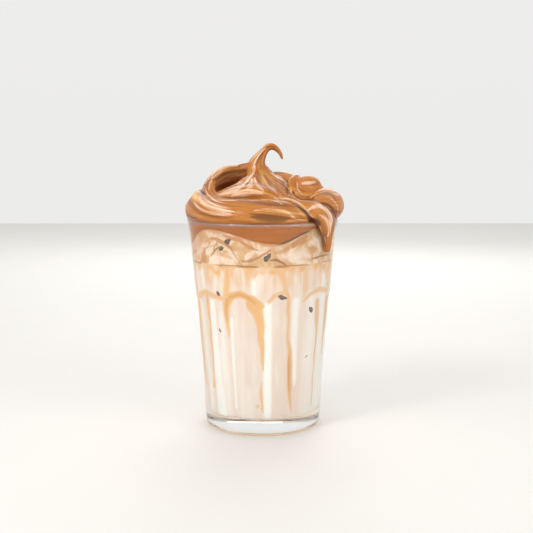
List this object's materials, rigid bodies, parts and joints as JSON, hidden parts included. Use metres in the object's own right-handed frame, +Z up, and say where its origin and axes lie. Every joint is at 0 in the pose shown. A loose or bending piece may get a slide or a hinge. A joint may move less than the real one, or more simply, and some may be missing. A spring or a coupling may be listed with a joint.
{
  "type": "latte",
  "caption": "Iced latte in a fluted glass tumbler: milk, a coffee-stained layer, and whipped coffee folded over the rim into a hooked peak.",
  "frame": {"origin": "centre of the tumbler's foot, on the surface that it stands on", "axes": "+Z up; -Y towards the front; +X to the right, where the tip of the peak points and the run hangs over the rim"},
  "size_m": [0.0925, 0.0882, 0.1659],
  "materials": {
    "tumbler": "clear, smooth",
    "milk": "opaque liquid, pale cream",
    "stained_layer": "opaque liquid, tan",
    "whipped_coffee": "glossy dense foam, caramel brown"
  },
  "bodies": {
    "root": {"tumbler": "tumbler", "milk": "milk", "stained_layer": "stained_layer", "whipped_coffee": "whipped_coffee"}
  },
  "joints": []
}
